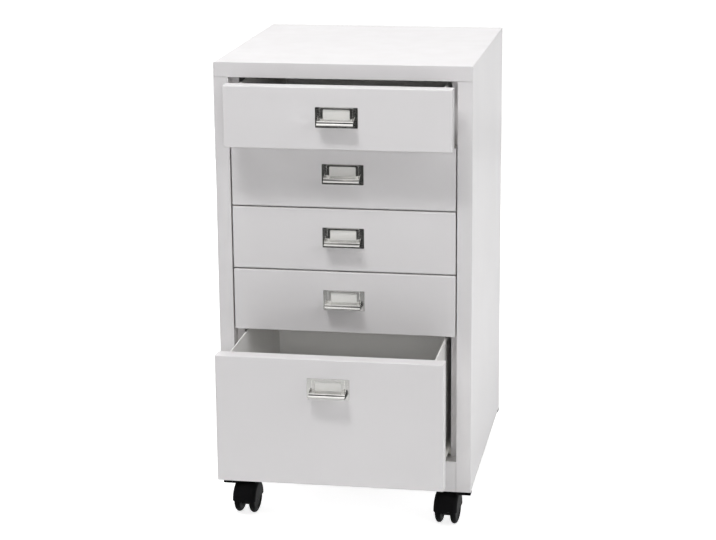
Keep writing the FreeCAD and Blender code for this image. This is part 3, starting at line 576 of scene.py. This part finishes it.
def turn_profile(draft, profile, centre, axis, steps):
    """Turn a profile of (along the axis, radius) points into a closed round body."""
    axis = axis.normalized()
    side = axis.orthogonal().normalized()
    other = axis.cross(side)
    angles = [2 * math.pi * step / steps for step in range(steps)]
    spokes = [side * math.cos(angle) + other * math.sin(angle) for angle in angles]
    loops = [[centre + axis * along + spoke * radius for spoke in spokes] for along, radius in profile]
    skin(draft, loops, ends=True)


# Finishes, case, drawers and slides

class CABINET_OT_make_finishes(bpy.types.Operator):
    """Make the node groups and the materials that the pieces share"""
    bl_idname = "cabinet.make_finishes"
    bl_label = "Finishes"
    bl_options = {"REGISTER", "UNDO"}

    def execute(self, context):
        for make in (make_grain_group, make_wear_group, make_dust_and_shade_group, make_handling_group,
                     make_brushed_group, make_weld_group):
            make()
        colours = context.scene.cabinet_colours
        surfaces = context.scene.cabinet_surfaces
        matt = surfaces.coat_roughness
        weld_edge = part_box("cabinet_wrap")[1].x - surfaces.weld_inset
        make_paint("powder_coat", colours.coat, matt, surfaces.dust)
        make_paint("case_coat", colours.coat, matt, surfaces.dust, weld_edge)
        make_paint("tray_paint", colours.tray, matt + 0.08, surfaces.dust / 2)
        make_paint("runner_epoxy", colours.runner, matt - 0.06, surfaces.dust)
        make_plating("polished_nickel", colours.nickel, roughness=0.09, line_size=0.25 * MM, lines=0.3,
                     depth=0.006 * MM, grime_and_shade=1.6)
        make_plating("zinc_plate", colours.zinc, roughness=0.3, line_size=0.4 * MM, lines=0.5,
                     depth=0.02 * MM, grime_and_shade=0.3)
        # The black nylon's lighter rubbed edges are partly a painted highlight.
        make_nylon("castor_nylon", colours.black, colours.scuff_and_highlight, roughness=0.36, grain_size=0.35 * MM,
                   wear=0.5, dust=0.01, gloss=0.02)
        make_nylon("roller_nylon", colours.white, scaled(colours.white, share=0.8), roughness=0.4,
                   grain_size=0.4 * MM, wear=0.4, dust=0.15, gloss=0.5)
        make_card_stock("card_stock", colours.card)
        return {"FINISHED"}


class CABINET_OT_paint_case(bpy.types.Operator):
    """Powder coat on the folded case, its back, floor pan and uprights"""
    bl_idname = "cabinet.paint_case"
    bl_label = "Case"
    bl_options = {"REGISTER", "UNDO"}

    def execute(self, context):
        coat = bpy.data.materials["powder_coat"]
        edge_round = context.scene.cabinet_surfaces.case_round
        dress("cabinet_wrap", bpy.data.materials["case_coat"], edge_round)
        for node in ("back_panel", "base_pan", "front_uprights", "rear_uprights"):
            dress(node, coat, edge_round)
        return {"FINISHED"}


class CABINET_OT_paint_drawers(bpy.types.Operator):
    """Powder coat on the drawer fronts and paint on the trays, with soft hemmed rims"""
    bl_idname = "cabinet.paint_drawers"
    bl_label = "Drawer fronts and trays"
    bl_options = {"REGISTER", "UNDO"}

    def execute(self, context):
        surfaces = context.scene.cabinet_surfaces
        for drawer in DRAWERS:
            dress(f"drawer_{drawer}_front", bpy.data.materials["powder_coat"], surfaces.case_round)
            dress(f"drawer_{drawer}_tray", bpy.data.materials["tray_paint"], surfaces.tray_round, segments=3)
        return {"FINISHED"}


class CABINET_OT_finish_slides(bpy.types.Operator):
    """Epoxy on the runners and slide members, nylon on the rollers and zinc on the screws"""
    bl_idname = "cabinet.finish_slides"
    bl_label = "Slides"
    bl_options = {"REGISTER", "UNDO"}

    def execute(self, context):
        edge_round = context.scene.cabinet_surfaces.case_round
        dress("cabinet_runners", bpy.data.materials["runner_epoxy"], edge_round)
        dress("runner_screws", bpy.data.materials["zinc_plate"], edge_round)
        for drawer in DRAWERS:
            dress(f"drawer_{drawer}_runners", bpy.data.materials["runner_epoxy"], edge_round)
            for row in ("front", "rear"):
                dress(f"drawer_{drawer}_{row}_rollers", bpy.data.materials["roller_nylon"], edge_round)
        return {"FINISHED"}


# Pulls and cards

def pull_anchor(drawer):
    """Middle of a pull at its ledge, on the face of the drawer's front."""
    low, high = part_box(f"drawer_{drawer}_pull")
    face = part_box(f"drawer_{drawer}_front")[0].y
    return Vector(((low.x + high.x) / 2, face, high.z - bpy.context.scene.cabinet_pulls.ledge_drop))


def draw_pull_plate(draft, anchor, sizes, low, high):
    """The flat plate, and the raised frame round the window, from the ledge to the top of the plate."""
    half = (high.x - low.x) / 2
    bottom, top = low.z - anchor.z, high.z - anchor.z
    window = sizes.window_width / 2
    sill = 0.5 * MM
    bare_top = 0.5 * MM
    foot_strip = 1.5 * MM
    corner_loss = 1.0 * MM
    head = sill + sizes.window_height
    head_strip = top - head - bare_top

    def plate_loop(depth):
        points = rounded_rectangle(-half, bottom, half, top, sizes.corner)
        return [anchor + Vector((x, -depth, z)) for x, z in points]

    def frame_loop(out, depth):
        share = out / sizes.frame_width
        points = rounded_rectangle(-window - out, sill - share * foot_strip, window + out,
                                   head + share * head_strip, sizes.window_corner - share * corner_loss)
        return [anchor + Vector((x, -depth, z)) for x, z in points]

    face = sizes.sheet + sizes.frame_height
    skin(draft, [plate_loop(0), plate_loop(sizes.sheet), frame_loop(sizes.frame_width, sizes.sheet),
                 frame_loop(sizes.frame_width - sizes.frame_slope, face), frame_loop(0, face),
                 frame_loop(0, sizes.sheet / 2)])


def draw_prism(draft, anchor, outline, near, far):
    """An outline of (y, z) points carried along X from near to far, with both ends closed."""
    skin(draft, [[anchor + Vector((x, y, z)) for y, z in outline] for x in (near, far)], ends=True)


def nose_outline(sizes, wall):
    """Top of the ledge's section as (y, z) points: the front bend, a groove, and the bead along the nose."""
    flat = 0.1 * MM
    groove_head = -sizes.bend_round - flat
    groove_foot = groove_head - sizes.groove_height
    deep = wall + sizes.groove_depth
    bend_arc = arc((wall + sizes.bend_round, -sizes.bend_round), sizes.bend_round, 90, 180, steps=8)
    bead_arc = arc((wall, groove_foot - sizes.bead_round), sizes.bead_round, 90, 180, steps=10)
    return [*bend_arc, (wall, groove_head), (deep, groove_head), (deep, groove_foot), *bead_arc]


def draw_pull_lip(draft, anchor, sizes, low):
    """The ledge with its grooved nose, and the cheek at each end."""
    reach, sheet = anchor.y - low.y, sizes.sheet
    wall = sizes.bead_round - reach
    outer = nose_outline(sizes, wall)
    foot = -sizes.nose_height
    half = sizes.lip_width / 2
    deep = wall + sizes.groove_depth + sheet
    hem_rise = 1.6 * MM
    hem_top = 2.6 * MM
    inner = [(sheet - reach, foot), (sheet - reach, foot + hem_rise), (deep, foot + hem_top),
             (deep, -2 * sheet), (deep + sheet, -sheet), (-sheet / 2, -sheet)]
    draw_prism(draft, anchor, [(-sheet / 2, 0), *outer, (-reach, foot), *inner], -half, half)
    cheek_sag = 0.9 * MM
    cheek_steps = 8
    slope = []
    start, end = Vector((-sheet / 2, sizes.cheek_rise)), Vector(outer[0])
    for step in range(cheek_steps):
        share = step / cheek_steps
        point = start.lerp(end, share)
        slope.append((point.x, point.y - cheek_sag * math.sin(math.pi * share)))
    cheek = [*slope, *outer, (-reach, foot), (-sheet / 2, foot)]
    for side in SIDES.values():
        draw_prism(draft, anchor, cheek, side * half, side * (half - sizes.cheek_sheet))


class CABINET_OT_make_pulls(bpy.types.Operator):
    """Stamped nickel pulls: plate, framed label window, ledge, nose and cheeks"""
    bl_idname = "cabinet.make_pulls"
    bl_label = "Pulls"
    bl_options = {"REGISTER", "UNDO"}

    def execute(self, context):
        sizes = context.scene.cabinet_pulls
        for drawer in DRAWERS:
            low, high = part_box(f"drawer_{drawer}_pull")
            anchor = pull_anchor(drawer)

            def build(draft):
                draw_pull_plate(draft, anchor, sizes, low, high)
                draw_pull_lip(draft, anchor, sizes, low)

            item = new_piece(f"pull_{drawer}", mesh_from(f"pull_{drawer}", build), f"drawer_{drawer}",
                             bpy.data.materials["polished_nickel"], smooth_angle=30)
            round_edges(item, sizes.edge_round, 3, "MITER_SHARP")
            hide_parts(f"drawer_{drawer}_pull")
        return {"FINISHED"}


class CABINET_OT_make_cards(bpy.types.Operator):
    """Blank flat cards behind the windows of the pulls"""
    bl_idname = "cabinet.make_cards"
    bl_label = "Label cards"
    bl_options = {"REGISTER", "UNDO"}

    def execute(self, context):
        for drawer in DRAWERS:
            low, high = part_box(f"drawer_{drawer}_label_card")

            def build(draft):
                outline = rounded_rectangle(low.x, low.z, high.x, high.z, CARD_CORNER, steps=4)
                skin(draft, [[Vector((x, y, z)) for x, z in outline] for y in (high.y, low.y)], ends=True)

            item = new_piece(f"card_{drawer}", mesh_from(f"card_{drawer}", build), f"drawer_{drawer}",
                             bpy.data.materials["card_stock"], smooth_angle=35)
            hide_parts(f"drawer_{drawer}_label_card")
        return {"FINISHED"}


# Castors

def wheel_section(sizes, radius):
    """Half section of a wheel as (along the axle, from the axle) points, from the outer side inwards."""
    half = sizes.thickness / 2
    hub, rim, floor = sizes.hub_radius, sizes.dish_radius, half - sizes.dish_depth
    slope = sizes.dish_depth / 2
    edge = 0.3 * MM
    cap = half - 0.4 * MM
    cap_centre = 0.6 * MM
    cap_foot = hub - 2.2 * MM
    cap_head = hub - 1.8 * MM
    bore = 3.4 * MM
    side = [(cap, cap_centre), (cap, cap_foot), (half, cap_head), (half, hub - edge), (half - edge, hub),
            (floor, hub + slope), (floor, rim - slope), (half - edge, rim), (half, rim + edge)]
    inner_edge = sizes.inner_round - half
    crown = (inner_edge + sizes.tread, radius - sizes.tread_round)
    beyond = sizes.shoulder_round - sizes.tread_round
    bend = math.asin((crown[0] + sizes.shoulder_round - half) / beyond)
    shoulder = (crown[0] - beyond * math.sin(bend), crown[1] - beyond * math.cos(bend))
    join = 90 - math.degrees(bend)
    outer = arc(shoulder, sizes.shoulder_round, 0, join, steps=8)[:-1]
    outer += arc(crown, sizes.tread_round, join, 90, steps=6)
    inner = arc((inner_edge, radius - sizes.inner_round), sizes.inner_round, 90, 180, steps=10)
    back = [(-along, out) for along, out in side[::-1] if out > bore]
    return side + outer + inner + back


class CABINET_OT_make_castors(bpy.types.Operator):
    """Nylon on the hoods, zinc on the axles and stems, and wheels with dished sides and hub caps"""
    bl_idname = "cabinet.make_castors"
    bl_label = "Castors"
    bl_options = {"REGISTER", "UNDO"}

    def execute(self, context):
        black, zinc = bpy.data.materials["castor_nylon"], bpy.data.materials["zinc_plate"]
        sizes = context.scene.cabinet_wheels
        dress("castor_stems", zinc)
        dress("corner_caps", black, context.scene.cabinet_surfaces.case_round)
        for castor in CASTORS:
            dress(f"{castor}_hood", black, sizes.hood_round)
            dress(f"{castor}_axle", zinc)
            boxes = {side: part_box(f"{castor}_wheel_{side}") for side in SIDES}
            middles = {side: (low + high) / 2 for side, (low, high) in boxes.items()}
            across = (middles["right"] - middles["left"]).normalized()
            for side, sign in SIDES.items():
                radius = (boxes[side][1].z - boxes[side][0].z) / 2
                section = wheel_section(sizes, radius)
                name = f"{castor}_wheel_{side}"

                def build(draft):
                    turn_profile(draft, section, middles[side], across * sign, WHEEL_STEPS)

                item = new_piece(f"{name}_moulded", mesh_from(name, build), name, black,
                                 smooth_angle=25)
                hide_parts(name)
        return {"FINISHED"}


# Studio

def camera_matrix(place, yaw, pitch, roll):
    """Where the camera stands and how it is turned."""
    forward = Vector((-math.sin(yaw) * math.cos(pitch), math.cos(yaw) * math.cos(pitch), -math.sin(pitch)))
    right = Vector((math.cos(yaw), math.sin(yaw), 0.0))
    up = right.cross(forward)
    across = right * math.cos(roll) + up * math.sin(roll)
    upright = up * math.cos(roll) - right * math.sin(roll)
    turned = Matrix((across, upright, -forward)).transposed()
    return Matrix.Translation(place) @ turned.to_4x4()


def background_rays(tree):
    """1 for the rays that should see the plain background: camera, glossy and transmission."""
    path = add_node(tree, "ShaderNodeLightPath").outputs
    seen = maths(tree, "ADD", path["Is Camera Ray"], path["Is Glossy Ray"])
    return maths(tree, "ADD", seen, path["Is Transmission Ray"], clamp=True)


def add_lamp(name, place, target, width, height, power, mirrored=True):
    """A soft lamp that faces a point. One that isn't mirrored leaves no spot on the plated pieces."""
    lamp = bpy.data.lights.new(name, "AREA")
    lamp.shape = "RECTANGLE"
    lamp.size = width
    lamp.size_y = height
    lamp.energy = power
    item = bpy.data.objects.new(name, lamp)
    item.rotation_euler = (Vector(target) - Vector(place)).to_track_quat("-Z", "Y").to_euler()
    item.location = place
    item.visible_camera = False
    item.visible_glossy = mirrored
    bpy.context.scene.collection.objects.link(item)


def add_stage_sheet(name, half_width, front, back, height):
    """A flat sheet in the material of the same name, which isn't part of the object."""
    corners = [(-half_width, front, height), (half_width, front, height), (half_width, back, height),
               (-half_width, back, height)]
    mesh = bpy.data.meshes.new(name)
    mesh.from_pydata(corners, [], [(0, 1, 2, 3)])
    mesh.materials.append(bpy.data.materials[name])
    item = bpy.data.objects.new(name, mesh)
    bpy.context.scene.collection.objects.link(item)
    return item


def place_camera(scene, studio):
    """The camera at the photograph's viewing angle."""
    camera = bpy.data.objects.new("camera", bpy.data.cameras.new("camera"))
    camera.data.sensor_width = 36.0
    camera.data.lens = studio.lens
    camera.data.clip_end = 100.0
    camera.matrix_world = camera_matrix(Vector(studio.place), studio.yaw, studio.pitch, studio.roll)
    scene.collection.objects.link(camera)
    scene.camera = camera


def light_room(scene, studio):
    """Even faint light from all round, and plain white where the background itself is seen."""
    world = bpy.data.worlds.new("studio")
    scene.world = world
    world.use_nodes = True
    tree = world.node_tree
    tree.nodes.clear()
    room = add_node(tree, "ShaderNodeBackground", {"Color": (1, 1, 1, 1), "Strength": studio.room})
    white = add_node(tree, "ShaderNodeBackground", {"Color": (1, 1, 1, 1), "Strength": 1.0})
    mixed = add_node(tree, "ShaderNodeMixShader",
                     {0: background_rays(tree), 1: room.outputs[0], 2: white.outputs[0]})
    add_node(tree, "ShaderNodeOutputWorld", {"Surface": mixed.outputs[0]})


def lay_floor(studio):
    """Pale floor whose own white glow keeps a faint shadow near the cabinet and none far from it."""
    tree, shader = new_material("studio_floor")
    shader.inputs["Base Color"].default_value = (*studio.floor, 1.0)
    shader.inputs["Roughness"].default_value = 0.9
    shader.inputs["Specular IOR Level"].default_value = 0.1
    shader.inputs["Emission Color"].default_value = (1, 1, 1, 1)
    place = add_node(tree, "ShaderNodeTexCoord").outputs["Object"]
    distance = add_node(tree, "ShaderNodeVectorMath", {0: place}, operation="LENGTH").outputs["Value"]
    glow = between(tree, ramp(tree, distance, low=0.35, high=1.1), studio.glow, 1.0)
    tree.links.new(maths(tree, "MULTIPLY", background_rays(tree), glow), shader.inputs["Emission Strength"])
    reach = 14.0
    add_stage_sheet("studio_floor", reach, -reach, reach, height=0)


def lay_dark_sheet():
    """Dark sheet just over the floor that only reflections show, so that the pulls' plates look dark.

    On the left, close to the cabinet, it fades to white.
    """
    back = -0.75
    fade = 0.9
    dark, white = 0.04, 1.0
    tree, shader = new_material("studio_flag")
    shader.inputs["Base Color"].default_value = (0, 0, 0, 1)
    shader.inputs["Specular IOR Level"].default_value = 0
    shader.inputs["Emission Color"].default_value = (1, 1, 1, 1)
    place = add_node(tree, "ShaderNodeTexCoord").outputs["Object"]
    place = add_node(tree, "ShaderNodeSeparateXYZ", {"Vector": place}).outputs
    close = ramp(tree, place["Y"], low=back - fade, high=back)
    on_left = ramp(tree, place["X"], low=0.12, high=0.0)
    tree.links.new(between(tree, maths(tree, "MULTIPLY", close, on_left), dark, white),
                   shader.inputs["Emission Strength"])
    sheet = add_stage_sheet("studio_flag", half_width=5, front=-9, back=back, height=SHEET_CLEAR)
    for ray in ("camera", "diffuse", "shadow", "transmission", "volume_scatter"):
        setattr(sheet, "visible_" + ray, False)


def hang_lamps(studio):
    """The soft lamps. Those in front of the cabinet aren't mirrored in its pulls."""
    add_lamp("key_lamp", place=(-0.45, -1.27, 2.75), target=(0, -0.1, 0.5), width=1.0, height=0.35,
             power=studio.key, mirrored=False)
    add_lamp("top_lamp", place=(0, 0.2, 2.6), target=(0, 0.1, 0.3), width=2.0, height=1.6, power=studio.top)
    add_lamp("right_lamp", place=(2.4, -1.2, 1.8), target=(0, 0, 0.35), width=1.8, height=1.8,
             power=studio.right, mirrored=False)
    add_lamp("front_lamp", place=(0.45, -3.4, 1.25), target=(0, 0, 0.3), width=1.3, height=0.5,
             power=studio.front, mirrored=False)
    add_lamp("left_lamp", place=(-2.8, 0.4, 1.5), target=(0, 0.1, 0.35), width=1.6, height=1.4,
             power=studio.left)
    add_lamp("back_lamp", place=(-0.4, 2.6, 0.5), target=(0, 0.1, 0.35), width=1.6, height=0.8,
             power=studio.back)


class CABINET_OT_set_studio(bpy.types.Operator):
    """Plain pale floor, white room, a dark sheet for the pulls to mirror, soft lamps and the camera"""
    bl_idname = "cabinet.set_studio"
    bl_label = "Studio"
    bl_options = {"REGISTER", "UNDO"}

    def execute(self, context):
        scene = context.scene
        studio = scene.cabinet_studio
        scene.view_settings.view_transform = "Standard"
        place_camera(scene, studio)
        light_room(scene, studio)
        lay_floor(studio)
        lay_dark_sheet()
        hang_lamps(studio)
        return {"FINISHED"}


# The add-on

STEPS = (CABINET_OT_make_finishes, CABINET_OT_paint_case, CABINET_OT_paint_drawers,
         CABINET_OT_finish_slides, CABINET_OT_make_pulls, CABINET_OT_make_cards,
         CABINET_OT_make_castors, CABINET_OT_set_studio)
SETTINGS = {"cabinet_colours": CabinetColours, "cabinet_surfaces": CabinetSurfaces,
            "cabinet_pulls": CabinetPulls, "cabinet_wheels": CabinetWheels, "cabinet_studio": CabinetStudio}


class CABINET_PT_looks(bpy.types.Panel):
    """Lists the settings and the steps"""
    bl_idname = "CABINET_PT_looks"
    bl_label = "Drawer Cabinet"
    bl_space_type = "VIEW_3D"
    bl_region_type = "UI"
    bl_category = "Cabinet"

    def draw(self, context):
        for setting, group in SETTINGS.items():
            box = self.layout.box()
            box.label(text=group.__doc__)
            for name in group.__annotations__:
                box.prop(getattr(context.scene, setting), name)
        for step in STEPS:
            self.layout.operator(step.bl_idname)


def register():
    for kind in (*SETTINGS.values(), *STEPS, CABINET_PT_looks):
        bpy.utils.register_class(kind)
    for setting, group in SETTINGS.items():
        setattr(bpy.types.Scene, setting, bpy.props.PointerProperty(type=group))


def unregister():
    for setting in SETTINGS:
        delattr(bpy.types.Scene, setting)
    for kind in (CABINET_PT_looks, *STEPS[::-1], *list(SETTINGS.values())[::-1]):
        bpy.utils.unregister_class(kind)


def main():
    """Register the add-on and run every step in order."""
    register()
    for step in STEPS:
        getattr(bpy.ops.cabinet, step.bl_idname.split(".")[1])()


if __name__ == "__main__":
    main()
